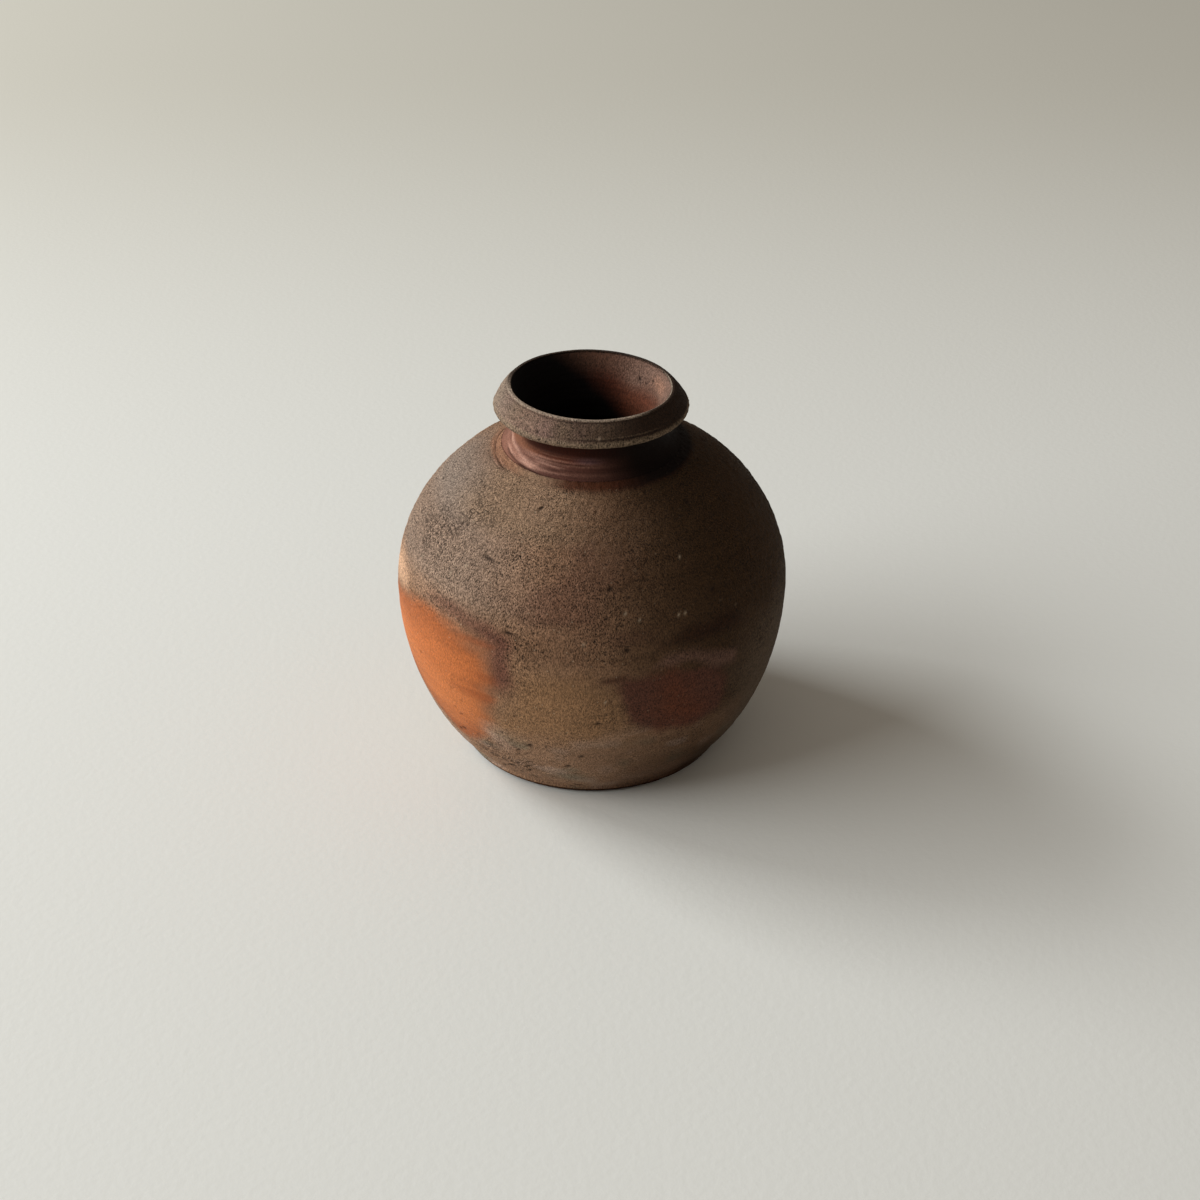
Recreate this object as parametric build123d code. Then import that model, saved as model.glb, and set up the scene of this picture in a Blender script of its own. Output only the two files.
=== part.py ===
from build123d import *
import os
from math import cos, radians, sin, sqrt

# A small round jar of fired clay: a flat foot, a full belly, a short neck and a flaring collar.
# It stands on z = 0 and its axis is +Z. Lengths are millimetres.
# Every outline is drawn in a half plane, with x as the radius and y as the height, and then turned.

# Belly: two half ovals that meet at the widest ring.
belly_radius = 40.0
belly_height = 36.0
dome_rise = 34.5
bowl_depth = 48.6

# Walls, thicker towards the floor.
belly_wall = 3.4
dome_wall = 3.0
bowl_wall = 4.5
floor_thickness = 5.0
floor_corner_radius = 6.0

# Foot: a disc whose edge stands a little proud of the bowl.
foot_edge_height = 1.6
foot_edge_proud = 0.1
foot_edge_round = 0.6

# Neck: hollowed from the dome up to a narrow waist, with a throat inside.
neck_waist_radius = 14.95
neck_waist_length = 1.3
neck_foot_spread = 2.65
neck_foot_rise = 4.2
neck_foot_sink = 0.3
neck_wall = 2.35
throat_bend_drop = 3.0
throat_bend_round = 8.0
throat_edge_round = 1.2

# Collar: a flaring ring with an undercut below it and a thin lip on top.
collar_overhang = 4.39
collar_undercut = 2.52
collar_height = 4.15
collar_bulge = 0.2
collar_root_round = 0.8
collar_edge_round = 1.0
mouth_flare = 3.16
mouth_sag = 0.2
lip_thickness = 0.63
lip_round = 0.2

# Luted joints: each is a step in the wall, so that one member seats in the next.
foot_ledge = 4.8
belly_lap = 2.6
neck_joint_margin = 0.4
neck_joint_ledge = 2.5
neck_lap = 1.5
collar_seat = 0.85
collar_lap = 1.2

# Lines that the potter's tool left in the outer face.
luting_groove_depth = 0.35
collar_line_depth = 0.12
collar_line_shares = (0.14, 0.26)

oval_steps = 8
overrun = 5.0



def other_side(first_half, second_half, first):
    """How far an oval reaches along its second half axis, at a distance along its first."""
    return second_half * sqrt(1 - (first / first_half) ** 2)


def dome_height(radius):
    """Height of the dome's outer face at a radius."""
    return belly_height + other_side(belly_radius, dome_rise, radius)


# Places that follow from the sizes above, from the foot up.
belly_centre = (0, belly_height)
outer_limit = belly_radius + overrun
foot_radius = foot_edge_proud + other_side(bowl_depth, belly_radius, belly_height - foot_edge_height)
foot_spigot_radius = foot_radius - foot_ledge
neck_foot_radius = neck_waist_radius + neck_foot_spread
neck_joint_radius = neck_foot_radius + neck_joint_margin
neck_waist_height = dome_height(neck_foot_radius) + neck_foot_rise
throat_radius = neck_waist_radius - neck_wall
mouth_radius = throat_radius + mouth_flare
collar_root_height = neck_waist_height + neck_waist_length
collar_edge_height = collar_root_height + collar_undercut
collar_radius = neck_waist_radius + collar_overhang
lip_height = collar_edge_height + collar_height


def oval_face(half_width, rise, depth):
    """Half the section of a belly that rises and drops by these amounts from its widest ring."""
    angles = [radians(90 * step / oval_steps) for step in range(-oval_steps, oval_steps + 1)]
    heights = [belly_height + (rise if angle > 0 else depth) * sin(angle) for angle in angles]
    points = [(half_width * cos(angle), height) for angle, height in zip(angles, heights)]
    arcs = [ThreePointArc(*points[step : step + 3]) for step in range(0, 2 * oval_steps, 2)]
    return make_face(arcs + [Line(points[-1], points[0])])


def box_face(radius, low, high):
    """A rectangle from the axis out to a radius, between two heights."""
    return make_face(Polyline((0, low), (radius, low), (radius, high), (0, high), close=True))


def rounded(face, radius, *places):
    """The face with its corners nearest to these places rounded."""
    corners = [face.vertices().sort_by_distance(place)[0] for place in places]
    return fillet(corners, radius)


def foot_section():
    """The foot's disc, whose lower edge is rounded off."""
    disc = box_face(foot_radius, 0, foot_edge_height)
    return rounded(disc, foot_edge_round, (foot_radius, 0))


def collar_face():
    """The collar's sloping face, from its outermost edge up to the lip."""
    edge = Vector(collar_radius, collar_edge_height)
    lip = Vector(mouth_radius + lip_thickness, lip_height)
    middle = (edge + lip) / 2 + Vector(collar_bulge, collar_bulge)
    return ThreePointArc(edge, middle, lip)


def neck_section():
    """The neck and collar as one solid form, from the axis outwards."""
    neck_foot = (neck_foot_radius, dome_height(neck_foot_radius))
    waist = (neck_waist_radius, neck_waist_height)
    hollow = TangentArc(waist, neck_foot, tangent=(0, -1))
    sunk_foot = hollow @ 1 + (hollow % 1) * neck_foot_sink
    root = (neck_waist_radius, collar_root_height)
    edge_low = (collar_radius - collar_edge_round, collar_edge_height - collar_edge_round)
    face = collar_face()
    outline = [
        Polyline(belly_centre, (sunk_foot.X, belly_height), sunk_foot, hollow @ 1),
        hollow,
        Polyline(waist, root, edge_low),
        TangentArc(edge_low, face @ 0, tangent=(1, 0)),
        face,
        Polyline(face @ 1, (0, lip_height), belly_centre),
    ]
    return rounded(make_face(outline), collar_root_round, root)


def mouth_section():
    """The air inside the neck: a throat that opens towards the lip."""
    bend = Vector(throat_radius, collar_root_height - throat_bend_drop)
    lip = Vector(mouth_radius, lip_height)
    air_height = lip_height + overrun
    outline = [
        Polyline((0, air_height), belly_centre, (throat_radius, belly_height), bend),
        ThreePointArc(bend, (bend + lip) / 2 - Vector(mouth_sag, 0), lip),
        Polyline(lip, (mouth_radius, air_height), (0, air_height)),
    ]
    return rounded(make_face(outline), throat_bend_round, bend)


def cavity_section():
    """The air inside the belly, flat on the floor and round at its corner."""
    side = belly_radius - belly_wall
    hollow = oval_face(side, dome_rise - dome_wall, bowl_depth - bowl_wall)
    hollow -= box_face(outer_limit, -outer_limit, floor_thickness)
    return rounded(hollow, floor_corner_radius, (side, floor_thickness))


def tool_lines():
    """Round-bottomed lines cut into the neck joint and the collar's face."""
    lines = Pos(neck_joint_radius, dome_height(neck_joint_radius)) * Circle(luting_groove_depth)
    for share in collar_line_shares:
        lines += Pos(collar_face() @ share) * Circle(collar_line_depth)
    return lines


def jar_section():
    """Half the section of the whole jar."""
    outer = oval_face(belly_radius, dome_rise, bowl_depth)
    outer &= box_face(outer_limit, 0, lip_height)
    outer += foot_section()
    outer += neck_section()
    section = outer - cavity_section() - mouth_section()
    throat_edge = (throat_radius, dome_height(throat_radius) - dome_wall)
    section = rounded(section, throat_edge_round, throat_edge)
    lip_edges = [(mouth_radius, lip_height), (mouth_radius + lip_thickness, lip_height)]
    section = rounded(section, lip_round, *lip_edges)
    return section - tool_lines()


def below(*steps):
    """All that lies under a stepped joint, given from the outside in as corners of radius and height."""
    outer = [(outer_limit, -overrun), (outer_limit, steps[0][1])]
    axis = [(0, steps[-1][1]), (0, -overrun)]
    return make_face(Polyline(*outer, *steps, *axis, close=True))


def foot_joint():
    """The bowl stands on the foot's edge, round its spigot."""
    spigot_top = floor_thickness + floor_corner_radius
    return below((foot_spigot_radius, foot_edge_height), (foot_spigot_radius, spigot_top))


def belly_joint():
    """The dome's outer half laps down over the bowl's inner half."""
    middle = belly_radius - belly_wall / 2
    return below((middle, belly_height - belly_lap / 2), (middle, belly_height + belly_lap / 2))


def neck_joint():
    """The neck sits on a ledge in the dome and its skirt passes through."""
    ledge_height = dome_height(neck_joint_radius) - neck_lap
    skirt_radius = neck_joint_radius - neck_joint_ledge
    return below(
        (neck_joint_radius, neck_waist_height),
        (neck_joint_radius, ledge_height),
        (skirt_radius, ledge_height),
        (skirt_radius, belly_height + belly_lap),
    )


def collar_joint():
    """The collar sits on the neck's outer edge, round a tongue."""
    tongue_radius = neck_waist_radius - collar_seat
    return below((tongue_radius, collar_root_height), (tongue_radius, collar_root_height + collar_lap))


def members():
    """Each clay member's name and solid, from the foot up."""
    section = jar_section()
    joints = {
        "foot_disc": foot_joint(),
        "lower_bowl": belly_joint(),
        "shoulder_dome": neck_joint(),
        "neck_ring": collar_joint(),
        "rim_collar": box_face(outer_limit, -overrun, lip_height + overrun),
    }
    for name, region in joints.items():
        yield name, revolve(Plane.XZ * (section & region), Axis.Z)
        section -= region


os.makedirs("parts", exist_ok=True)
for node, solid in members():
    export_step(solid, f"parts/{node}.step")
    size = solid.bounding_box().size
    print(f"{node}: {solid.volume:.0f} mm3, {size.X:.2f} x {size.Y:.2f} x {size.Z:.2f} mm")
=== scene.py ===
import math
import bpy
import numpy as np
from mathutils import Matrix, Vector


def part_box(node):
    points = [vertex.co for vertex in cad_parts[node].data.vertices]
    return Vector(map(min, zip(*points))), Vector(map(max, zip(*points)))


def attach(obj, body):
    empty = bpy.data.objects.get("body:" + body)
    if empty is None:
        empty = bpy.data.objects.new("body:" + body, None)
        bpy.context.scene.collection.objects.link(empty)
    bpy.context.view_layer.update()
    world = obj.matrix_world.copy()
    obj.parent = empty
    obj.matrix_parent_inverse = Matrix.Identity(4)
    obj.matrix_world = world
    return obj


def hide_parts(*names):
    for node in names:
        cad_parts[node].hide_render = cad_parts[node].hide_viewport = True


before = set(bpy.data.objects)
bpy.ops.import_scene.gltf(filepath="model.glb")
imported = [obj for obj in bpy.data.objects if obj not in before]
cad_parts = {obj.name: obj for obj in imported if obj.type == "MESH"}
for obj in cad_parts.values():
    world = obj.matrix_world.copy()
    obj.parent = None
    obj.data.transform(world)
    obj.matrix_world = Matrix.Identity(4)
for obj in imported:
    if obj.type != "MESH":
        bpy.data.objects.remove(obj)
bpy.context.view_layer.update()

mm = 0.001
scene = bpy.context.scene


def frameSize(node, end, axis):
    # one side of a node's box, in millimetres
    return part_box(node)[end][axis] / mm


# The flask's outline in millimetres: the seams and the overall sizes come from the frame
jar = {
    "footRadius": frameSize("foot_disc", 1, 0),
    "bellyRadius": frameSize("shoulder_dome", 1, 0),
    "bellySeam": frameSize("shoulder_dome", 0, 2),
    "bellyTongue": frameSize("lower_bowl", 1, 2),
    "neckJoint": frameSize("neck_ring", 1, 0),
    "neckLedge": frameSize("neck_ring", 0, 2),
    "collarRoot": frameSize("rim_collar", 0, 2),
    "neckTongue": frameSize("neck_ring", 1, 2),
    "collarRadius": frameSize("rim_collar", 1, 0),
    "lipHeight": frameSize("rim_collar", 1, 2),
    "bellyHeight": 36.0, "domeRise": 34.5, "bowlDepth": 48.6,
    "bellyWall": 3.4, "domeWall": 3.0, "bowlWall": 4.5,
    "floorThickness": 5.0, "floorCorner": 6.0,
    "footEdge": 1.6, "footRound": 0.6, "footLedge": 4.8,
    "domeTop": 63.5, "neckFoot": 17.6, "neckSkirt": 15.5,
    "waistRadius": 14.95, "waistHeight": 71.18, "rootRound": 0.8,
    "throatRadius": 12.6, "throatBend": 69.48, "throatEdge": 1.2,
    "undercut": 2.52, "edgeRound": 1.0, "collarBulge": 0.2, "collarSeat": 14.1,
    "mouthRadius": 15.76, "mouthSag": 0.2, "lipThickness": 0.63, "lipRound": 0.2,
}

# How finely the clay is meshed: steps round it, and millimetres along its outline
meshStep = {"around": 640, "wall": 0.38, "neck": 0.22, "collar": 0.16, "lip": 0.09, "throat": 0.32, "inside": 1.8}
curvePoints = 240  # points of a drawn oval, before it is evened out; an arc has a quarter of them


def oval(side, rise, start, end):
    # a stretch of an oval round the belly's centre, between two angles in radians
    angle = np.linspace(start, end, curvePoints)
    return np.column_stack((side * np.cos(angle), jar["bellyHeight"] + rise * np.sin(angle)))


def atHeight(rise, height):
    return math.asin((height - jar["bellyHeight"]) / rise)


def atRadius(side, radius):
    return math.acos(radius / side)


def arcThrough(start, middle, end):
    # points of the circle through three places, worked out as complex numbers
    a, b, c = (complex(*place) for place in (start, middle, end))
    bend = (c - a) / (b - a)
    centre = a + (b - a) * (bend - abs(bend) ** 2) / (2j * bend.imag)
    first, mid, last = np.angle(np.array((a, b, c)) - centre)
    turn = (last - first) % math.tau
    if (mid - first) % math.tau > turn:
        turn -= math.tau
    points = centre + abs(a - centre) * np.exp(1j * (first + np.linspace(0, turn, curvePoints // 4)))
    return np.column_stack((points.real, points.imag))


def roundCorner(before, corner, after, radius):
    # the arc that rounds a corner, without the straight ends
    before, corner, after = (np.array(p, float) for p in (before, corner, after))
    back = (before - corner) / np.linalg.norm(before - corner)
    ahead = (after - corner) / np.linalg.norm(after - corner)
    half = math.acos(float(back @ ahead)) / 2
    bisector = (back + ahead) / np.linalg.norm(back + ahead)
    centre = corner + bisector * radius / math.sin(half)
    reach = radius / math.tan(half)
    return arcThrough(corner + back * reach, centre - bisector * radius, corner + ahead * reach)


def cutLine(line, axis, value):
    # the line before and after it first passes a radius (axis 0) or a height (axis 1)
    side = np.sign(line[:, axis] - value)
    at = int(np.argmax(side[:-1] * side[1:] <= 0))
    share = (value - line[at, axis]) / (line[at + 1, axis] - line[at, axis])
    place = line[at] + share * (line[at + 1] - line[at])
    return np.vstack((line[:at + 1], place)), np.vstack((place, line[at + 1:]))


def evenly(line, step):
    # the line again with even steps, its ends kept
    along = np.concatenate(([0], np.cumsum(np.linalg.norm(np.diff(line, axis=0), axis=1))))
    places = np.linspace(0, along[-1], max(2, round(along[-1] / step) + 1))
    return np.column_stack([np.interp(places, along, line[:, axis]) for axis in (0, 1)])


def outerStretches():
    # from the underside's centre over the foot and up the outside to the lip, each line with its mesh step
    j = jar
    side, rise, depth = j["bellyRadius"], j["domeRise"], j["bowlDepth"]
    foot, edge, seam = j["footRadius"], j["footEdge"], atHeight(depth, j["bellySeam"])
    footArc = roundCorner((0, 0), (foot, 0), (foot, edge), j["footRound"])
    bowl = oval(side, depth, atHeight(depth, edge), seam)
    neckJoint = atRadius(side, j["neckJoint"])
    dome = np.vstack((oval(side, depth, seam, 0)[:-1], oval(side, rise, 0, neckJoint)))
    dome, domeTop = cutLine(dome, 1, j["domeTop"])
    neckStart = oval(side, rise, neckJoint, atRadius(side, j["neckFoot"]))
    spread = neckStart[-1, 0] - j["waistRadius"]
    drop = j["waistHeight"] - neckStart[-1, 1]
    hollowRadius = (spread ** 2 + drop ** 2) / (2 * spread)
    angle = np.linspace(math.asin(drop / hollowRadius), 0, curvePoints // 4)[1:]
    hollow = np.column_stack((
        j["waistRadius"] + hollowRadius * (1 - np.cos(angle)),
        j["waistHeight"] - hollowRadius * np.sin(angle),
    ))
    edgeHeight = j["collarRoot"] + j["undercut"]
    edgeCentre = (j["collarRadius"] - j["edgeRound"], edgeHeight)
    edgeLow = (edgeCentre[0], edgeHeight - j["edgeRound"])
    root = roundCorner(hollow[-1], (j["waistRadius"], j["collarRoot"]), edgeLow, j["rootRound"])
    diagonal = j["edgeRound"] * math.sqrt(0.5)
    edgeMiddle = (edgeCentre[0] + diagonal, edgeHeight - diagonal)
    edgeArc = arcThrough(edgeLow, edgeMiddle, (j["collarRadius"], edgeHeight))
    lipOuter = np.array((j["mouthRadius"] + j["lipThickness"], j["lipHeight"]))
    face = arcThrough(edgeArc[-1], (edgeArc[-1] + lipOuter) / 2 + j["collarBulge"], lipOuter)
    neck, undercut = cutLine(np.vstack((neckStart, hollow, root, edgeArc, face[1:-5])), 1, j["collarRoot"])
    lipArc = roundCorner(face[-6], lipOuter, (j["mouthRadius"], j["lipHeight"]), j["lipRound"])
    return {
        "underside": (np.array(((0, 0), footArc[0])), "inside"),
        "footEdge": (np.vstack((footArc, (foot, edge))), "neck"),
        "footLedge": (np.array(((foot, edge), bowl[0])), "neck"),
        "bowl": (bowl, "wall"),
        "dome": (dome, "wall"),
        "domeTop": (domeTop, "neck"),
        "neck": (neck, "neck"),
        "collar": (np.vstack((undercut, lipArc[:1])), "collar"),
        "lipOuter": (lipArc, "lip"),
    }


def innerStretches():
    # from the lip down the inside to the middle of the floor
    j = jar
    side = j["bellyRadius"] - j["bellyWall"]
    rise, depth = j["domeRise"] - j["domeWall"], j["bowlDepth"] - j["bowlWall"]
    lip = np.array((j["mouthRadius"], j["lipHeight"]))
    throat = np.array((j["throatRadius"], j["throatBend"]))
    flare = arcThrough(lip, (lip + throat) / 2 - (j["mouthSag"], 0), throat)
    lipArc = roundCorner(lip + (1, 0), lip, flare[6], j["lipRound"])
    dome = oval(side, rise, atRadius(side, j["throatRadius"]), 0)
    throatArc = roundCorner(throat, dome[0], dome[14], j["throatEdge"])
    bowl = oval(side, depth, 0, atHeight(depth, j["floorThickness"]))
    corner = roundCorner(bowl[-40], bowl[-1], (0, j["floorThickness"]), j["floorCorner"])
    reach = np.linalg.norm(corner[0] - bowl[-1])
    bowl = bowl[np.linalg.norm(bowl - bowl[-1], axis=1) > reach]
    flareDown, throatDown = cutLine(np.vstack((lipArc[-1:], flare[7:], throatArc, dome[15:])), 1, j["neckTongue"])
    throatDown, domeDown = cutLine(throatDown, 0, j["neckSkirt"])
    middle = (0, j["floorThickness"])
    domeDown, bowlDown = cutLine(np.vstack((domeDown, bowl[1:], corner, middle)), 1, j["bellyTongue"])
    bowlDown, floor = cutLine(bowlDown, 0, j["footRadius"] - j["footLedge"])
    return {
        "lipTop": (np.vstack((outerStretches()["lipOuter"][0][-1:], lipArc[:1])), "lip"),
        "lipInner": (lipArc, "lip"),
        "flare": (flareDown, "throat"),
        "throat": (throatDown, "throat"),
        "domeInside": (domeDown, "inside"),
        "bowlInside": (bowlDown, "inside"),
        "floor": (floor, "inside"),
    }


def skinRows():
    # every row of the clay's skin as (radius, height), and which rows each stretch covers
    rows, span = [(0.0, 0.0)], {}
    for name, (line, step) in {**outerStretches(), **innerStretches()}.items():
        first = len(rows) - 1
        rows.extend(map(tuple, evenly(line, meshStep[step])[1:]))
        span[name] = (first, len(rows) - 1)
    return np.array(rows), span


rows, span = skinRows()
around = np.arange(meshStep["around"]) * math.tau / meshStep["around"]  # 0 faces the front, and grows to the right
along = np.concatenate(([0], np.cumsum(np.linalg.norm(np.diff(rows, axis=0), axis=1))))
slope = np.gradient(rows, along, axis=0)
slope /= np.linalg.norm(slope, axis=1)[:, None]
outward = np.column_stack((slope[:, 1], -slope[:, 0]))
print("skin has", len(rows), "rows of", len(around))


def turned(pairs):
    # (radius, height) rows turned round the axis
    pairs = np.asarray(pairs, float)
    x = pairs[..., 0, None] * np.sin(around)
    y = -pairs[..., 0, None] * np.cos(around)
    return np.stack((x, y, np.broadcast_to(pairs[..., 1, None], x.shape)), axis=-1)


skin = turned(rows)
degrees, radii, heights, lengths = (np.broadcast_to(values, skin.shape[:2]) for values in (
    (np.degrees(around) + 180) % 360 - 180, rows[:, :1], rows[:, 1:], along[:, None]))

rng = np.random.default_rng(41)
latticeSide = 64
lattice = rng.uniform(-1, 1, [latticeSide] * 3)


def noise(size, shift):
    # smooth noise between -1 and 1, its lumps about this many millimetres across (one size, or one for each axis)
    p = skin / size + shift
    cell = np.floor(p).astype(int)
    t = p - cell
    t = t * t * (3 - 2 * t)
    total = 0
    for corner in range(8):
        pick = [(corner >> axis) & 1 for axis in range(3)]
        weight = 1
        for axis in range(3):
            weight = weight * (t[..., axis] if pick[axis] else 1 - t[..., axis])
        index = tuple((cell[..., axis] + pick[axis]) % latticeSide for axis in range(3))
        total = total + weight * lattice[index]
    return total


def smooth(low, high, value):
    t = np.clip((value - low) / (high - low), 0, 1)
    return t * t * (3 - 2 * t)


def within(low, high, soft, value):
    # 1 between two limits, fading over a soft edge inside them
    return smooth(low, low + soft, value) * (1 - smooth(high - soft, high, value))


def above(low, high):
    # 0 below the first height, 1 from the second one up
    return smooth(low, high, heights)


def sector(low, high, soft):
    # the wall between two angles
    return within(low, high, soft, degrees)


def band(low, high, soft):
    # the wall between two heights
    return within(low, high, soft, heights)


def bell(value, centre, spread):
    # 1 at the centre, fading to both sides
    return np.exp(-((value - centre) / spread) ** 2)


def spot(angle, height, wide, tall):
    # a soft round patch on the wall, in degrees and millimetres
    return bell(degrees, angle, wide) * bell(heights, height, tall)


def rowsOf(*names):
    # 1 on the rows of these stretches
    mask = np.zeros((len(rows), 1))
    for name in names:
        mask[span[name][0]:span[name][1] + 1] = 1
    return mask


outsideWall = rowsOf("bowl", "dome", "domeTop")
neckWall = rowsOf("neck")
lipRows = rowsOf("lipOuter", "lipTop", "lipInner")
collarWall = np.maximum(rowsOf("collar"), lipRows)
mouthWall = rowsOf("flare", "throat")
innerWall = rowsOf("domeInside", "bowlInside", "floor")

# How the thrown surface departs from the clean outline, in millimetres
relief = {
    "inset": 0.05, "footInset": 0.3, "swell": 0.12, "sideBulge": 0.2,
    "throwingRings": 0.05, "fineRings": 0.03,
    "grain": 0.1, "coarseGrain": 0.03, "leather": 0.15,
    "neckLines": 0.14, "collarGrain": 0.05, "collarLine": 0.06,
    "lipTilt": 0.45, "tiltRadius": 16, "tiltSink": 0.35,
    "spiral": 0.12, "spiralPitch": 2.6, "mouthPitch": 1.3,
    "stringCut": 0.12, "stringPitch": 2.3, "stringCentre": (-34, -22),
    "footNicks": 0.1, "pits": 0.22, "grits": 0.07,
}


def throwingRelief():
    # rings, swells and grain of the outer wall
    r = relief
    smoothClay = 1 - 0.75 * sector(-82, -28, 6) * band(12, 44, 4)
    rings = r["throwingRings"] * noise((60, 60, 2.4), 3.1) + r["fineRings"] * noise((30, 30, 0.9), 7.7)
    shoulder = 0.6 + 0.8 * band(44, 68, 6)
    smoothClay = smoothClay * (0.6 + 0.4 * above(32, 48))
    grain = r["grain"] * noise((0.6, 0.6, 1.0), 1.3) + r["coarseGrain"] * noise(1.9, 5.2)
    leatherSpot = sector(-100, -30, 28) * band(43, 66, 7)
    folds = 1 - 2 * np.abs(noise((1.3, 1.3, 1.0), 9.4))
    leather = r["leather"] * (0.25 + 0.75 * leatherSpot) * above(30, 50)
    leather = leather * (0.5 * folds + 0.5 * noise(1.0, 4.4) - 0.2)
    bulge = r["sideBulge"] * sector(30, 150, 40) * (0.5 + above(50, 62))
    swell = (r["swell"] * noise(26, 2.2) + bulge) * (1 - above(60, 66))
    still = above(1.6, 8)
    body = still * (swell + rings * shoulder + leather - r["inset"]) - (1 - still) * r["footInset"]
    return outsideWall * (body + grain * smoothClay * (0.3 + 0.7 * still))


upNeck = lengths - along[span["neck"][0]]

# The potter's finger lines round the neck's foot: (degrees, millimetres up from the joint) along each,
# then its width and strength
fingerRidges = (
    (((-112, 3.0), (-84, 3.1), (-64, 2.35), (-48, 1.75), (-34, 1.5)), 0.4, 1.2),
    (((-84, 1.75), (-63, 1.3), (-49, 0.9), (-33, 0.5)), 0.3, 0.9),
    (((-50, 2.65), (-30, 2.5), (-14, 2.35)), 0.17, 1.3),
    (((-50, 3.65), (10, 3.7)), 0.12, 0.7),
    (((-48, 4.3), (14, 4.4)), 0.12, 0.6),
    (((-46, 5.0), (8, 5.1)), 0.1, 0.5),
    (((-38, 3.0), (6, 2.95)), 0.12, 0.6),
    (((-44, 1.1), (-6, 1.2)), 0.22, 0.6),
    (((-76, -1.2), (-60, -1.7), (-44, -1.9)), 0.15, 0.6),
    (((-80, -2.3), (-48, -2.7)), 0.15, 0.5),
)
fingerGrooves = (
    (((-118, 0.8), (-100, -0.6), (-84, -1.3), (-75, -1.7), (-50, -2.5)), 0.17, 1.1),
    (((-90, -2.9), (-48, -2.8)), 0.15, 0.6),
    (((-82, 1.3), (-63, 0.8), (-49, 0.4), (-26, 0.0)), 0.17, 1.5),
    (((-78, 0.2), (-63, -0.3), (-54, -0.8), (-42, -1.1)), 0.15, 0.7),
    (((-56, 2.15), (-34, 1.7), (-14, 1.7)), 0.16, 1.2),
    (((-48, 3.35), (4, 3.3)), 0.12, 0.8),
    (((-46, 4.0), (10, 4.05)), 0.11, 0.8),
    (((-44, 4.7), (6, 4.75)), 0.1, 0.7),
    (((-26, 2.1), (26, 1.9)), 0.16, 0.5),
    (((-32, 0.8), (22, 0.7)), 0.15, 0.45),
)


def fingerField(lines, shift):
    # how strongly each point lies on one of the lines, which waver and break off here and there
    field = np.zeros(skin.shape[:2])
    for count, (points, wide, strength) in enumerate(lines):
        angle, place = zip(*points)
        centre = np.interp(degrees, angle, place) + 0.1 * noise(5, shift + count) + 0.05 * noise(1.6, shift + count)
        broken = np.clip(0.75 + 0.6 * noise(2.6, shift + 3 * count), 0.15, 1.25)
        field += strength * broken * bell(upNeck, centre, wide) * within(angle[0], angle[-1], 12, degrees)
    return field


def neckStrokes():
    fine = noise((24, 24, 0.4), 2.4) * (0.4 + 0.8 * noise(4, 5.1))
    firm = neckWall * (0.1 + 0.9 * sector(-66, 34, 30)) * smooth(0.2, 1.8, upNeck)
    up, down = np.maximum(fine, 0) * firm, np.maximum(-fine, 0) * firm
    return fingerField(fingerRidges, 1.3) + up, fingerField(fingerGrooves, 7.7) + down


ridges, channels = neckStrokes()


def neckRelief():
    upper = neckWall * (0.04 * noise(1.6, 6.1) - 0.06)
    return upper + relief["neckLines"] * (ridges - 1.1 * channels)


collarTool = {"line": 6.3, "crest": 0.325, "width": 0.15}

# The fine line that the potter's tool left above the collar's lower edge, its crest, and the hollow under the lip
upCollar = lengths - along[span["collar"][0]] - collarTool["line"] - 0.075 * noise(8, 1.4)
toolFade = rowsOf("collar") * sector(-30, 56, 30)
collarLines = toolFade * bell(upCollar, 0, collarTool["width"])
collarCrest = toolFade * bell(upCollar, collarTool["crest"], collarTool["width"])
belowLip = along[span["lipOuter"][0]] - lengths
underLip = rowsOf("collar") * bell(belowLip, 0.55 + 0.1 * noise(6, 3.9), 0.14)


def collarRelief():
    # a grainy rolled ring, a little uneven
    r = relief
    grain = r["collarGrain"] * (noise((0.6, 0.6, 1.1), 2.9) + 0.6 * noise(1.7, 8.1)) * (1 - 0.8 * lipRows)
    uneven = 0.1 * noise((7, 7, 30), 4.9)
    return collarWall * (grain + uneven - 0.05) - r["collarLine"] * (collarLines - 0.8 * collarCrest + underLip)


def insideRelief():
    # the spiral that the potter's fingers left inside
    r = relief
    ridge = np.sin(math.tau * (heights / r["spiralPitch"] - degrees / 360))
    soft = 0.5 + 0.5 * noise(14, 1.9)
    mouth = 0.35 * r["spiral"] * np.sin(math.tau * (heights / r["mouthPitch"] - degrees / 360)) * soft
    fade = smooth(0, 3, lengths - along[span["flare"][0]])
    deep = innerWall * (r["spiral"] * ridge * soft + 0.08 * noise(3.5, 3.3)) * smooth(2, 8, radii)
    return mouthWall * fade * (mouth + 0.03 * noise(1.5, 2.7)) + deep


def footRelief():
    # a nicked lower edge and the arcs of the cutting string underneath
    r = relief
    nicks = (0.5 + 0.5 * noise((2.2, 2.2, 1.6), 7.1)) * (1 - above(0.3, 1.2))
    reach = np.hypot(skin[..., 0] - r["stringCentre"][0], skin[..., 1] - r["stringCentre"][1])
    arcs = 0.5 + 0.5 * np.sin(math.tau * (reach / r["stringPitch"] + 0.25 * noise(11, 6.6)))
    under = rowsOf("underside") * arcs * smooth(0, 3, radii) * (1 - smooth(25.5, 27, radii))
    flush = jar["footRadius"] - rows[span["bowl"][0], 0] + r["footInset"]
    edge = flush + 0.2 * (1 - heights / jar["footEdge"]) + r["footNicks"] * nicks
    return -rowsOf("footEdge") * edge - r["stringCut"] * under


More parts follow.
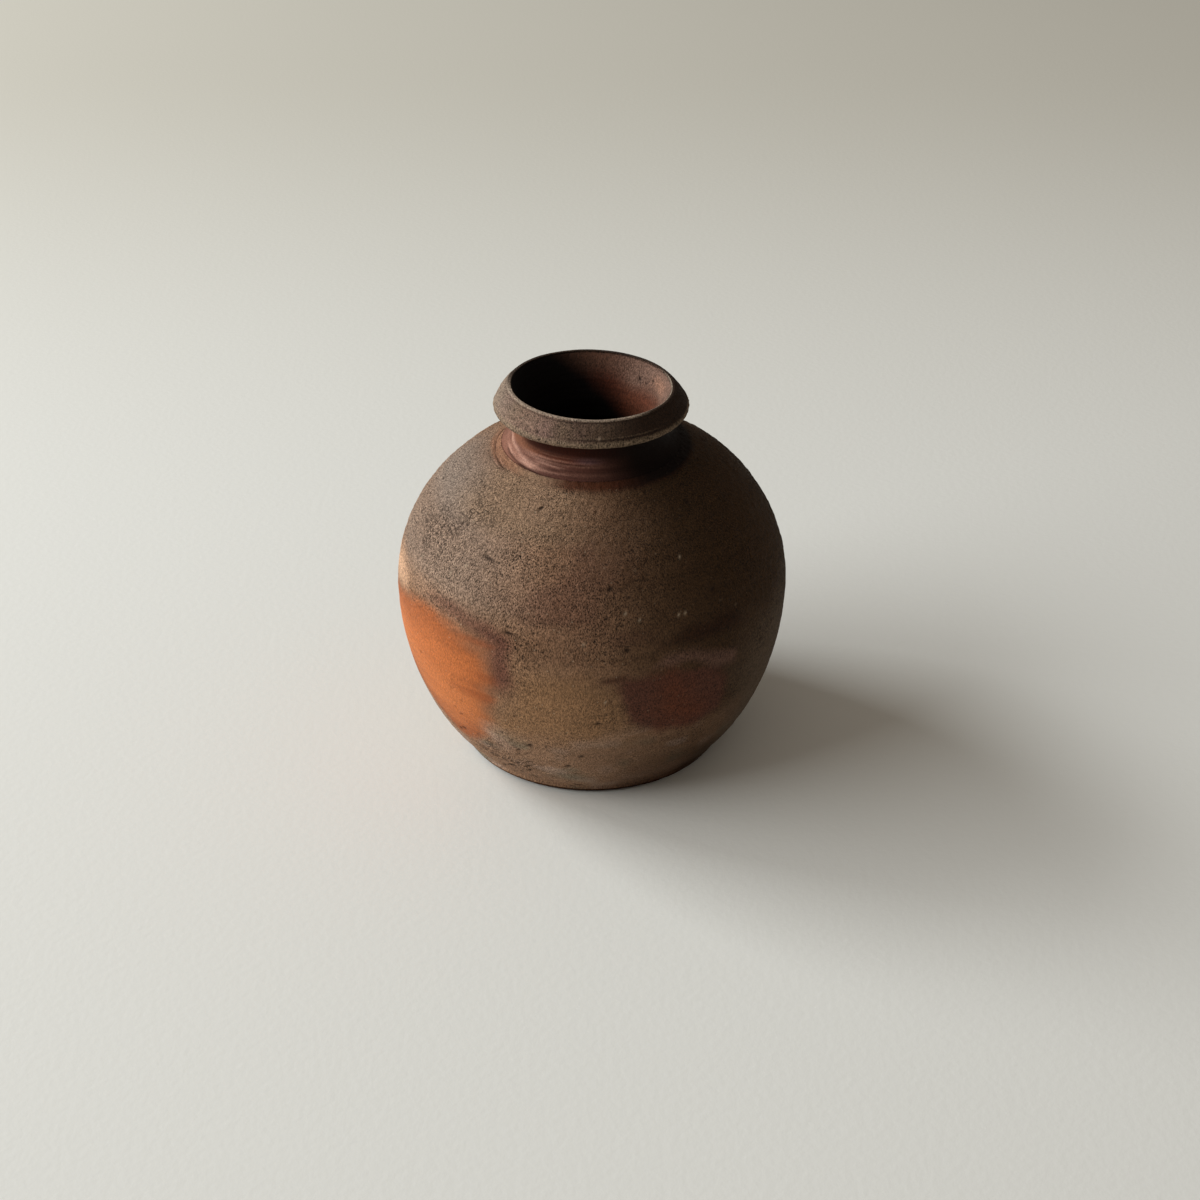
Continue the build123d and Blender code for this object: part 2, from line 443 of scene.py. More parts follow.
def dent(field, angle, height, length, width, depth, lean=0.0, stretches=("bowl", "neck")):
    # presses one small oval mark into a field, on the outer wall or on other stretches
    row0, row1 = span[stretches[0]][0], span[stretches[1]][1]
    row = row0 + int(np.argmin(np.abs(rows[row0:row1, 1] - height)))
    size = max(length, width) * 2.2
    rowReach = int(size / meshStep["neck"]) + 1
    segment = (angle % 360) / 360 * len(around)
    segmentWidth = rows[row, 0] * math.tau / len(around)
    segmentReach = int(size / segmentWidth) + 1
    rowPick = np.arange(max(row - rowReach, row0), min(row + rowReach, row1) + 1)
    segmentPick = np.arange(round(segment) - segmentReach, round(segment) + segmentReach + 1)
    up = (along[rowPick] - along[row])[:, None]
    across = (segmentPick - segment)[None, :] * segmentWidth
    cos, sin = math.cos(math.radians(lean)), math.sin(math.radians(lean))
    near = ((across * cos + up * sin) / length) ** 2 + ((up * cos - across * sin) / width) ** 2
    field[np.ix_(rowPick, segmentPick % len(around))] += depth * np.exp(-near)


# Small marks of the clay body, most of them scattered, some where the eye falls on them
marks = {
    "pits": 320,
    "grits": 22,
    "diagonalPits": 60,
    # placed marks as (degrees from the front, millimetres up), the nicks also with their length and lean
    "seenGrits": ((-43, 52.5), (-48, 50.5), (-64, 49.5), (14, 47.4), (10, 48.5), (26, 46.8), (28, 46.8), (-2, 43.2),
                  (4, 30.5), (31, 56)),
    "seenPits": ((6, 53), (39, 49.2), (10, 42), (46, 62.5), (-3, 15), (-49, 13), (-46, 14), (-5, 2.5), (57, 33.5)),
    "nicks": ((-23, 63.4, 0.7, 60), (-36, 55.2, 1.7, -8), (-23.5, 43.7, 1.3, -6), (-35.5, 5, 1.1, 50),
              (-23, 6.8, 0.9, 55), (-31, 6.8, 0.9, 40), (-23.2, 8.6, 0.6, 20), (-19.5, 16.8, 0.8, 35),
              (-24, 14.4, 0.6, 45), (-8, 11.2, 0.7, 30), (2, 25, 0.5, 0)),
    "mouthPits": ((137, 75.2, 0.42), (122, 76.1, 0.28), (129, 74.8, 0.24)),  # the last number is their size
}


def smallMarks():
    # one field of pits and one of grits
    pits, grits = np.zeros(skin.shape[:2]), np.zeros(skin.shape[:2])
    for _ in range(marks["pits"]):
        angle, height = rng.uniform(-180, 180), rng.uniform(2.5, 67)
        size = rng.uniform(0.24, 0.36)
        dent(pits, angle, height, size * rng.uniform(1, 1.5), size, rng.uniform(0.2, 0.7), rng.uniform(-20, 20))
    for _ in range(marks["diagonalPits"]):
        angle, height, length = rng.normal(-28, 11), rng.uniform(3, 19), rng.uniform(0.4, 0.8)
        dent(pits, angle, height, length, rng.uniform(0.2, 0.27), rng.uniform(0.4, 0.9), rng.uniform(30, 60))
    for _ in range(marks["grits"]):
        size, angle = rng.uniform(0.2, 0.3), rng.uniform(-180, 180)
        height, depth = rng.uniform(2.5, 60), rng.uniform(0.2, 0.6)
        dent(grits, angle, height, size, size, depth * (0.3 if 5 < angle < 80 else 1))
    for angle, height in marks["seenPits"]:
        dent(pits, angle, height, 0.5, 0.38, 1.7, 10)
    for angle, height in marks["seenGrits"]:
        dent(grits, angle, height, 0.34, 0.22, 0.75, 70)
    for angle, height, length, lean in marks["nicks"]:
        dent(pits, angle, height, length, 0.3, 1.4, lean)
    for angle, height, size in marks["mouthPits"]:
        dent(pits, angle, height, size, size, 1.2, stretches=("flare", "throat"))
    dent(grits, 5, 76.4, 0.3, 0.22, 0.9, 80, stretches=("collar", "collar"))
    dent(pits, -33, 76.3, 0.35, 0.3, 1.1, stretches=("collar", "collar"))
    return np.clip(pits, 0, 1.2), np.clip(grits, 0, 1.1)


pits, grits = smallMarks()
lift = throwingRelief() + neckRelief() + collarRelief() + insideRelief() + footRelief()
lift = lift - relief["pits"] * pits + relief["grits"] * grits
lift[[0, -1]] = 0
skinRaised = skin + lift[..., None] * turned(outward)
tilt = above(72.5, 79) * np.maximum(collarWall, rowsOf("flare"))
skinRaised[..., 2] -= relief["lipTilt"] * tilt * (skin[..., 0] / relief["tiltRadius"] + relief["tiltSink"])
skinRaised[..., 2] = np.maximum(skinRaised[..., 2], 0)
print("relief from", round(float(lift.min()), 3), "to", round(float(lift.max()), 3), "mm")

# Shading directions of the whole skin, so that the seams between members stay unseen
sideways = np.roll(skinRaised, -1, axis=1) - np.roll(skinRaised, 1, axis=1)
upward = np.gradient(skinRaised, along, axis=0)
skinNormals = np.cross(sideways, upward)
skinNormals[0], skinNormals[-1] = (0, 0, -1), (0, 0, 1)
skinNormals /= np.maximum(np.linalg.norm(skinNormals, axis=-1, keepdims=True), 1e-12)


def reachInto(outline):
    # millimetres inside an outline drawn as (angle, height) corners, below zero outside it
    degreeWidth = 0.65  # millimetres on the belly
    points = np.array(outline, float) * (degreeWidth, 1)
    u, v = degrees * degreeWidth, heights
    nearest, inside = np.full(u.shape, 1e9), np.zeros(u.shape, bool)
    for (ax, ay), (bx, by) in zip(points, np.roll(points, -1, axis=0)):
        dx, dy = bx - ax, by - ay
        t = np.clip(((u - ax) * dx + (v - ay) * dy) / (dx * dx + dy * dy), 0, 1)
        nearest = np.minimum(nearest, np.hypot(u - ax - t * dx, v - ay - t * dy))
        if ay != by:
            inside ^= ((ay > v) != (by > v)) & (u < ax + (v - ay) / (by - ay) * dx)
    return np.where(inside, nearest, -nearest)


# Where the fire left its marks: outlines as (degrees from the front, millimetres up)
firing = {
    "orange": ((-122, 29), (-114, 36), (-98, 38.5), (-80, 39), (-70, 40.8), (-60, 42.4), (-52, 43.4), (-40, 43.4),
               (-31.4, 43), (-25.6, 41.4), (-24.2, 36), (-25, 30), (-27.5, 25), (-29, 20), (-34, 15), (-41, 11.3),
               (-47, 9.7), (-54, 11.8), (-63, 15.8), (-72, 20), (-84, 23), (-100, 23), (-114, 25)),
    "peach": ((-104, 38), (-96, 42.5), (-84, 44.6), (-76, 45), (-70, 43.4), (-69, 41.4), (-76, 39.8), (-84, 38.5)),
    "ochre": ((-20, 36.5), (-10, 37), (0, 37), (6, 35), (10, 30), (12, 25), (10, 20), (-10, 19), (-24, 18), (-30, 20),
              (-27, 26), (-22, 31)),
    "red": ((1, 35.2), (4, 36.2), (9, 36.4), (18, 36.4), (26, 36.6), (33, 35.4), (37, 33.4), (41, 30), (43, 25),
            (41, 21.5), (32, 20.4), (23, 20.8), (16, 22.2), (11.5, 25), (9.5, 28.5), (8.5, 32), (7, 34.4)),
    "rust": ((19, 34), (23, 35.6), (28, 34.2), (30, 29), (36, 24), (30, 21.6), (20, 22.6), (17, 27)),
    "lilac": ((18, 37.6), (22, 39.8), (30, 39.7), (37, 37.8), (45, 36), (45, 32.8), (37, 33.6), (28, 36.8)),
    "smoke": ((18, 41.2), (30, 40.2), (38, 40), (46, 39.8), (52, 41), (44, 44.5), (30, 44.6), (22, 43.4)),
    "backFlash": ((128, 34), (136, 42), (152, 46), (172, 43), (176, 34), (168, 25), (150, 20), (134, 24)),
    # the middles of the leathery patches, with their strength
    "leather": ((-67, 53.5, 0.8), (-56, 57, 0.8), (-46, 60.5, 0.6), (-37, 10, 1.4), (-22, 7.5, 1.4)),
}


def firingAndShadeMasks():
    # each mark's strength on every point of the skin: the fire's marks, and the painted shade, shadows, highlights and
    # bounce light
    wall = np.maximum(outsideWall, neckWall)
    ragged = noise(6, 3.7) + 0.5 * noise(2.2, 9.9)
    streaky = noise((14, 14, 2.6), 2.6) + 0.5 * noise((9, 9, 1.1), 6.3)
    orange = reachInto(firing["orange"]) + 0.7 * ragged + 0.5 * streaky
    red = reachInto(firing["red"]) + 0.7 * ragged + 0.4 * streaky
    softSide = smooth(-54, -34, degrees) * band(14, 46, 6)
    haloTop = sector(-64, -14, 18) * above(39, 42)
    haloSide = smooth(-40, -25, degrees) * band(27, 46, 7) * (degrees < 0)
    clouds = 0.5 + 0.5 * noise((16, 16, 8), 5.5)
    # the painted shade of the side turned from the light starts further right on the lit bands, and ends before the
    # back, where the angles start again
    lit = 8 * band(18, 34, 6) - 2 * band(36, 58, 8) + 2 * band(54, 62, 6)
    lit = lit + 3 * band(60, 66, 3) - 12 * band(9, 20, 4)
    backFade = 1 - smooth(112, 178, degrees)
    turnedFromLight = smooth(-26, 44, degrees - lit + 5 * noise(14, 6.2)) * backFade
    # where the neck's painted shade reaches down onto the shoulder
    nearNeck = outsideWall * smooth(-3.5, -1.7, upNeck + 0.3 * ragged) * smooth(2, 40, degrees)
    jointTurn = np.maximum(sector(-36, 96, 26), smooth(100, 145, np.abs(degrees)))
    depth = jar["lipHeight"] - heights
    backwards = degrees % 360  # 0 to 360, so that the inside's dark part is one stretch
    # the angle where the painted shadow inside the mouth begins, earlier further down
    shadowEdge = 203 - 4.4 * depth + 4 * ragged
    # where the lip's painted highlight reaches: the top of the collar just under the lip, and the lip where it faces
    # the light
    underLipEdge = rowsOf("collar") * smooth(0.24, 0.1, belowLip)
    litLip = np.maximum(sector(-98, 50, 28), rowsOf("lipInner") * sector(-80, 125, 30))
    leatherSpots = sum(most * spot(angle, height, 10, 3.6) for angle, height, most in firing["leather"])
    leatherAll = (0.1 + 0.4 * sector(-105, -28, 26)) * above(44, 53) * (1 - above(63, 68))
    belly = {
        "lowBand": (1 - smooth(17, 25, heights + 2 * ragged)) * (1 - 0.65 * smooth(-4, 38, degrees) * backFade),
        # painted bounce light from the floor on the lower right
        "lowGlow": sector(6, 44, 14) * (1 - above(7, 11)),
        "palePatches": smooth(0.15, 0.7, noise((6, 6, 3.4), 8.3) + 0.4 * ragged) * (1 - above(17, 27))
        + 0.6 * bell(degrees, 5, 3) * bell(heights + 0.5 * ragged, 10, 1.4),
        "greenPatches": smooth(0.2, 0.8, noise((5, 5, 3), 1.7) + 0.3 * ragged) * (1 - above(14, 22))
        + 0.9 * bell(degrees, -7, 6) * bell(heights + 0.5 * ragged, 7, 2),
        "redHaze": smooth(0, 0.8, noise((9, 9, 5), 4.2) + 0.35 * ragged) * sector(-50, 60, 20)
        * above(36, 44) + 0.7 * spot(-1, 50, 13, 8) + 0.7 * spot(10, 57, 8, 2.6),
        "ochre": smooth(-4, 5, reachInto(firing["ochre"]) + 1.5 * ragged),
        "mauve": sector(-128, -8, 38) * band(42, 67, 7) * (0.6 + 0.4 * clouds),
        "ash": sector(-125, -38, 28) * band(55, 68, 5),
        "neckTan": sector(-80, 12, 34) * band(57, 72, 4),
        "neckBlush": within(-2.6, 1.0, 0.9, upNeck + 0.2 * ragged) * sector(-116, -34, 26),
        # greyer clay on the lower right, darkened there as painted shade of the side turned from the light
        "greySide": smooth(36, 60, degrees + 4 * ragged) * (1 - smooth(27, 46, heights + 3 * ragged)) * backFade,
        "peach": smooth(-2.6, 2.6, reachInto(firing["peach"]) + 0.6 * ragged),
        "backFlash": smooth(-2, 5, reachInto(firing["backFlash"]) + 1.5 * ragged),
        "tanGlow": bell(degrees, -56, 11) * bell(heights, 44.6 - 0.08 * (degrees + 56), 1.9),
        "halo": within(-3.6, 1.6, 2.3, orange) * haloTop * 0.75 + within(-2.6, 4.6, 3.2, orange) * haloSide,
        "orange": smooth(-0.6, 2.6 + 5 * softSide, orange),
        "orangeShade": smooth(0.5, 3, orange) * smooth(-62, -32, degrees) * (heights > 20)
        * smooth(-0.1, 0.8, streaky),
        "orangeHeart": smooth(2.5, 10, orange + 1.6 * streaky),
        "orangeLight": smooth(1, 6, orange) * within(12, 31, 6, heights + 0.12 * (degrees + 50) + 1.2 * streaky)
        * (0.6 + 0.4 * streaky),
        "red": smooth(-1.2, 1.6 + 2.5 * above(34, 38), red),
        "rust": smooth(-3.5, 4.5, reachInto(firing["rust"]) + 1.4 * ragged),
        "lilac": smooth(-1.0, 1.4, reachInto(firing["lilac"]) + 0.5 * ragged),
        "smoke": smooth(-1, 2.6, reachInto(firing["smoke"]) + 0.8 * ragged),
        "redTail": bell(heights, 35.4 + 0.13 * (degrees - 4), 0.8) * sector(0.8, 12, 4),
        "jointRed": smooth(-3.4, -1.3, upNeck + 0.35 * ragged) * jointTurn,
        "leather": smooth(1.5, -2, orange) * np.clip(leatherAll + leatherSpots, 0, 1.5),
    }
    neck = {
        "neckRed": 1 + 0 * degrees,
        "neckPink": sector(-130, -26, 40) * (1 - smooth(1.9, 3.4, upNeck + 0.2 * ragged)),
        "neckWarm": sector(-130, -30, 30) * smooth(2.6, 3.9, upNeck + 0.2 * ragged),
        "neckOrange": sector(-70, 6, 26) * smooth(2.4, 4.4, upNeck),
        "neckPurple": bell(degrees, -2, 9) * within(3.2, 5.2, 0.7, upNeck),
        # painted shadow under the collar
        "underCollar": above(69.2, 70.9) * sector(-72, 150, 22),
    }
    collar = {
        # painted shade on the collar's side turned from the light
        "collarDark": smooth(-48, 38, degrees) * backFade,
        "collarPale": sector(-135, -44, 36),
        "collarMauve": sector(-85, 10, 25) * (0.55 + 0.6 * noise((4, 4, 9), 3.3)),
        "collarEdge": within(73.7, 75.9, 0.7, heights + 0.15 * ragged),
    }
    mouth = {
        "mouthRed": 1 + 0 * degrees,
        "mouthGlow": within(85, 190, 40, backwards) * smooth(3.5, 8, depth + 0.8 * ragged),
        "mouthPale": within(30, 175, 50, backwards) * (1 - smooth(2.5, 8, depth + ragged)),
        # painted highlight on the inside wall that faces the light
        "mouthLight": within(94, 130, 16, backwards) * within(1.4, 5.5, 1.8, depth + 0.8 * ragged),
        "mouthEmber": smooth(140, 168, backwards + 3 * ragged) * smooth(2, 6, depth),
        # painted shadow inside the mouth, where the rim hides the light
        "mouthDark": (smooth(shadowEdge - 26, shadowEdge + 16, backwards)
                      + (backwards < 90) * smooth(95, 60, backwards)).clip(0, 1),
    }
    made = {}
    for part, patches in ((outsideWall, belly), (neckWall, neck), (collarWall, collar), (mouthWall, mouth)):
        made.update({name: part * patch for name, patch in patches.items()})
    for name in ("palePatches", "greenPatches", "redHaze"):
        made[name] = made[name].clip(0, 1)
    return made | {
        "clouds": wall * clouds,
        # painted shade on the side turned from the light, a little lighter low down
        "darkSide": wall * turnedFromLight * (1 - 0.33 * band(8, 25, 6)),
        # painted highlight on the neck's finger ridges, fading towards the side turned from the light
        "ridge": ridges * (1 - 0.65 * smooth(-44, -8, degrees)),
        # painted shade in the neck's finger grooves
        "channel": channels,
        # painted shade on the neck's side turned from the light, and on the shoulder just below it
        "neckDark": np.maximum(neckWall * smooth(-16, 38, degrees + 3 * ragged), nearNeck) * backFade,
        # dark paint in the tool line and in the hollow under the lip: painted shade in the grooves
        "collarLines": (collarLines + underLip) * (0.2 + 0.8 * sector(-75, 75, 40)),
        "collarCrest": collarCrest * (0.2 + 0.8 * sector(-40, 70, 30)),
        # painted shade over the inside of the body
        "deepInside": innerWall + 0 * degrees,
        # painted highlight along the lit lip
        "lip": np.maximum(lipRows, underLipEdge) * (0.9 + 0.1 * ragged) * litLip,
        "lipShade": np.maximum(lipRows, rowsOf("collar") * smooth(0.5, 0.2, belowLip))
        * np.maximum(smooth(78, 104, -degrees), smooth(112, 150, degrees)),
        # painted contact shadow along the foot's bottom edge and under the foot
        "footLine": np.maximum(rowsOf("underside"), (1 - above(0.3, 1.3)) * rowsOf("footEdge")),
        # darker at the foot: painted shade where the jar stands on the floor, over a darker rim of the clay
        "footShade": np.maximum(outsideWall, rowsOf("footEdge", "footLedge")) * (1 - above(0.8, 2.3))
        * smooth(-56, 6, degrees) * backFade,
        "coarse": outsideWall * (0.75 + 0.25 * above(32, 46)) * (0.95 + 0.3 * noise(8, 6.7)).clip(0.7, 1.15)
        * (1 - 0.62 * smooth(-1, 4, orange)) * (1 - 0.5 * smooth(-2.4, -0.8, upNeck)) + neckWall * 0.45 + collarWall
        + mouthWall * 0.7 + innerWall * 0.6 + rowsOf("footEdge", "underside") * 0.6 + 0 * degrees,
        # pale specks, fewer where the side turned from the light carries painted shade
        "flecks": (1 - 0.85 * turnedFromLight) * (outsideWall + neckWall * 0.3 + collarWall).clip(0, 1),
        "pit": pits,
        "grit": grits,
    }


masks = firingAndShadeMasks()
print("firing marks laid on", len(masks), "masks")


def shade(red, green, blue):
    # a colour written from 0 to 255, as the values that Blender mixes
    parts = [c / 255 for c in (red, green, blue)]
    return tuple(c / 12.92 if c <= 0.04045 else ((c + 0.055) / 1.055) ** 2.4 for c in parts) + (1.0,)


def addObject(name, data):
    made = bpy.data.objects.new(name, data)
    scene.collection.objects.link(made)
    return made


def addNode(tree, kind, **settings):
    made = tree.nodes.new(kind)
    for name, value in settings.items():
        setattr(made, name, value)
    return made


def connect(value, socket):
    # a link where the value comes from a node, and a plain setting otherwise
    if isinstance(value, bpy.types.NodeSocket):
        socket.id_data.links.new(value, socket)
    else:
        socket.default_value = value


def calculate(operation, first, second=0.0, clamp=False):
    # the first value is a node's, and so it knows the tree
    made = addNode(first.id_data, "ShaderNodeMath", operation=operation, use_clamp=clamp)
    connect(first, made.inputs[0])
    connect(second, made.inputs[1])
    return made.outputs[0]


def times(first, second, clamp=False):
    return calculate("MULTIPLY", first, second, clamp)


def blendColours(share, first, second):
    made = addNode(share.id_data, "ShaderNodeMix", data_type="RGBA")
    connect(share, made.inputs[0])
    connect(first, made.inputs[6])
    connect(second, made.inputs[7])
    return made.outputs[2]


def stepped(value, low, high, outLow=0.0, outHigh=1.0):
    # the value spread from one range to another, with soft ends
    made = addNode(value.id_data, "ShaderNodeMapRange", interpolation_type="SMOOTHSTEP")
    for socket, setting in zip(made.inputs[:5], (value, low, high, outLow, outHigh)):
        connect(setting, socket)
    return made.outputs[0]


def lumps(where, size, detail=2.0, roughness=0.5, stretch=(1, 1, 1)):
    # clay noise with lumps of this many millimetres, drawn out along an axis by the stretch
    spread = addNode(where.id_data, "ShaderNodeMapping")
    connect(where, spread.inputs["Vector"])
    spread.inputs["Scale"].default_value = tuple(1 / (size * mm * s) for s in stretch)
    made = addNode(where.id_data, "ShaderNodeTexNoise")
    connect(spread.outputs[0], made.inputs["Vector"])
    made.inputs["Scale"].default_value = 1.0
    made.inputs["Detail"].default_value = detail
    made.inputs["Roughness"].default_value = roughness
    return made.outputs[0]


def specks(where, size, radius, share):
    # small round specks, one in some of the cells of this many millimetres
    made = addNode(where.id_data, "ShaderNodeTexVoronoi")
    connect(where, made.inputs["Vector"])
    made.inputs["Scale"].default_value = 1 / (size * mm)
    near = stepped(made.outputs["Distance"], radius, radius * 0.45)
    split = addNode(where.id_data, "ShaderNodeSeparateColor")
    connect(made.outputs["Color"], split.inputs[0])
    return times(near, calculate("LESS_THAN", split.outputs[0], share))


def maskOf(tree, name):
    return addNode(tree, "ShaderNodeAttribute", attribute_name=name).outputs["Fac"]


def addBump(shader, height, strength, distance):
    bump = addNode(shader.id_data, "ShaderNodeBump")
    bump.inputs["Strength"].default_value = strength
    bump.inputs["Distance"].default_value = distance * mm
    connect(height, bump.inputs["Height"])
    connect(bump.outputs[0], shader.inputs["Normal"])


def newMaterial(name):
    # a material, its node tree and shader, and the place of each point on the object
    material = bpy.data.materials.new(name)
    material.use_nodes = True
    tree = material.node_tree
    return material, tree, tree.nodes["Principled BSDF"], addNode(tree, "ShaderNodeTexCoord").outputs["Object"]


# The colours that firing gave the clay, and the painted shade, shadows, highlights and bounce light: mask, colour,
# strength and how far its grain breaks it up
clayColours = {
    "clouds": ((148, 116, 90), 0.4, 0.6),
    "lowBand": ((163, 128, 102), 0.8, 0.5),
    "palePatches": ((176, 148, 130), 0.7, 0.9),
    "greenPatches": ((118, 112, 94), 0.75, 0.9),
    "ochre": ((149, 113, 81), 0.85, 0.5),
    "redHaze": ((116, 82, 67), 0.6, 0.5),
    "mauve": ((150, 129, 113), 0.82, 0.4),
    "ash": ((136, 126, 117), 0.45, 0.4),
    "neckTan": ((144, 117, 93), 0.75, 0.4),
    "neckBlush": ((158, 112, 85), 0.7, 0.3),
    # painted shade of the side turned from the light
    "darkSide": ((59, 41, 24), 1.0, 0.25),
    # greyer clay on the lower right, partly painted shade
    "greySide": ((90, 75, 61), 0.9, 0.4),
    # painted bounce light from the floor
    "lowGlow": ((102, 77, 60), 0.6, 0.4),
    "peach": ((206, 164, 132), 0.9, 0.3),
    "backFlash": ((142, 84, 54), 0.7, 0.5),
    "orange": ((168, 94, 51), 0.97, 0.3),
    "orangeHeart": ((198, 114, 62), 0.85, 0.3),
    "orangeShade": ((142, 74, 40), 0.55, 0.4),
    "orangeLight": ((220, 136, 80), 0.55, 0.3),
    "tanGlow": ((166, 132, 106), 0.6, 0.4),
    "halo": ((104, 66, 54), 0.8, 0.4),
    "smoke": ((44, 24, 13), 0.76, 0.4),
    "red": ((84, 52, 41), 0.95, 0.3),
    "rust": ((98, 53, 34), 0.75, 0.4),
    "lilac": ((108, 80, 70), 0.6, 0.6),
    "redTail": ((54, 25, 15), 0.6, 0.4),
    "neckRed": ((88, 54, 45), 0.95, 0.35),
    "jointRed": ((79, 42, 25), 0.95, 0.35),
    "neckPink": ((140, 97, 80), 0.85, 0.4),
    "neckOrange": ((106, 56, 38), 0.75, 0.3),
    "neckWarm": ((126, 82, 60), 0.8, 0.4),
    "neckPurple": ((112, 82, 86), 0.7, 0.3),
    # painted highlight on the neck's finger ridges
    "ridge": ((182, 136, 116), 0.75, 0.5),
    # painted shade in the neck's finger grooves
    "channel": ((50, 22, 13), 0.85, 0.3),
    # painted shadow under the collar
    "underCollar": ((48, 18, 10), 0.9, 0.2),
    # painted shade on the neck's side turned from the light
    "neckDark": ((20, 11, 7), 1.0, 0.2),
    "collarPale": ((144, 127, 112), 0.6, 0.4),
    "collarMauve": ((132, 102, 94), 0.7, 0.5),
    # painted shade on the collar's side turned from the light
    "collarDark": ((40, 26, 17), 0.95, 0.25),
    "collarEdge": ((134, 115, 94), 0.6, 0.5),
    "collarCrest": ((124, 104, 84), 0.4, 0.5),
    # painted shade in the collar's tool line and under the lip
    "collarLines": ((40, 27, 20), 0.7, 0.3),
    "mouthRed": ((94, 64, 50), 0.95, 0.45),
    "mouthGlow": ((94, 49, 32), 0.8, 0.5),
    "mouthPale": ((128, 100, 86), 0.8, 0.5),
    # painted highlight inside the mouth
    "mouthLight": ((160, 118, 96), 0.6, 0.6),
    "mouthEmber": ((84, 38, 23), 0.8, 0.4),
    # painted shadow inside the mouth
    "mouthDark": ((7, 4, 3), 1.0, 0.2),
    # painted shade inside the body
    "deepInside": ((20, 15, 11), 1.0, 0.2),
    # painted highlight along the lip
    "lip": ((168, 150, 132), 0.8, 0.4),
    "lipShade": ((40, 30, 24), 0.85, 0.2),
    # painted contact shadow at the foot
    "footLine": ((64, 30, 16), 0.85, 0.3),
    # painted shade at the foot over a darker rim of the clay
    "footShade": ((36, 10, 3), 0.98, 0.15),
}


def firedClay(name, look):
    # unglazed stoneware: grainy clay, the fire's colours with painted shade and highlights, specks, and a surface that
    # is drier or glossier by place
    material, tree, shader, where = newMaterial(name)
    coarse = maskOf(tree, "coarse")
    fine = lumps(where, 0.24, 2.0, 0.6, (0.9, 0.9, 1.4))
    grain = lumps(where, 0.31, 2.0, 0.6, (0.85, 0.85, 1.8))
    patches = lumps(where, 5.5, 4.0, 0.6, (1.4, 1.4, 0.7))
    streaks = lumps(where, 1.2, 3.0, 0.6, (14, 14, 0.7))

    colour = blendColours(stepped(patches, 0.32, 0.68), look["dark"], look["light"])
    for mask, (paint, strength, broken) in clayColours.items():
        if mask not in look["marks"]:
            continue
        painted = maskOf(tree, mask)
        edge = times(calculate("SUBTRACT", grain, 0.5), broken)
        edge = times(edge, stepped(painted, 0.0, 0.3))
        share = calculate("ADD", painted, edge)
        colour = blendColours(times(share, strength, True), colour, shade(*paint))

    # short curling creases where the clay's skin is leathery
    curl = lumps(where, 0.85, 1.0, 0.5, (1, 1, 1.2))
    curl.node.inputs["Distortion"].default_value = 0.5
    crease = calculate("ABSOLUTE", calculate("SUBTRACT", curl, 0.5))
    crease = stepped(crease, 0.015, 0.075, 1.0, 0.0)
    crease = times(crease, stepped(lumps(where, 2.8), 0.36, 0.6, 0.4, 1.0))
    crease = times(crease, maskOf(tree, "leather"))

    # grain and streaks lighten and darken whatever colour lies there
    tone = stepped(grain, 0.3, 0.7, -look["grain"], look["grain"])
    for layer, name in ((fine, "fine"), (streaks, "streaks")):
        tone = calculate("ADD", tone, stepped(layer, 0.3, 0.7, -look[name], look[name]))
    tone = calculate("ADD", times(tone, coarse), 1.0)
    scaled = addNode(tree, "ShaderNodeVectorMath", operation="SCALE")
    connect(colour, scaled.inputs[0])
    connect(tone, scaled.inputs["Scale"])
    colour = blendColours(times(crease, 0.56), scaled.outputs[0], look["pit"])

    paleSpeck = times(specks(where, 1.2, 0.18, 0.22), maskOf(tree, "flecks"))
    colour = blendColours(times(paleSpeck, 0.36), colour, look["fleck"])
    darkSpeck = times(specks(where, 1.1, 0.17, 0.14), times(coarse, 0.4))
    colour = blendColours(darkSpeck, colour, look["pit"])
    for mark, strength, paint in (("pit", 0.8, "pit"), ("grit", 0.75, "fleck")):
        strong = times(maskOf(tree, mark), strength, True)
        colour = blendColours(strong, colour, look[paint])
    connect(colour, shader.inputs["Base Color"])

    gloss = times(maskOf(tree, look["glossMask"]), look["gloss"])
    rough = stepped(fine, 0.25, 0.75, look["rough"] - 0.06, look["rough"] + 0.08)
    connect(calculate("SUBTRACT", rough, gloss, True), shader.inputs["Roughness"])
    shader.inputs["Specular IOR Level"].default_value = look["shine"]

    height = calculate("ADD", times(fine, 0.6), grain)
    height = calculate("ADD", height, times(streaks, 0.35))
    height = calculate("SUBTRACT", height, times(darkSpeck, 1.2))
    height = times(height, coarse)
    height = calculate("SUBTRACT", height, times(crease, 0.35))
    addBump(shader, height, 1.0, look["bump"])
    return material


def stationRing(station):
    # the places of one ring of a piece: a skin row by number, or a hidden joint corner as (radius, height)
    if isinstance(station, int):
        ring = skinRaised[station]
        return ring[:1] if station in (0, len(rows) - 1) else ring
    return turned([station])[0]


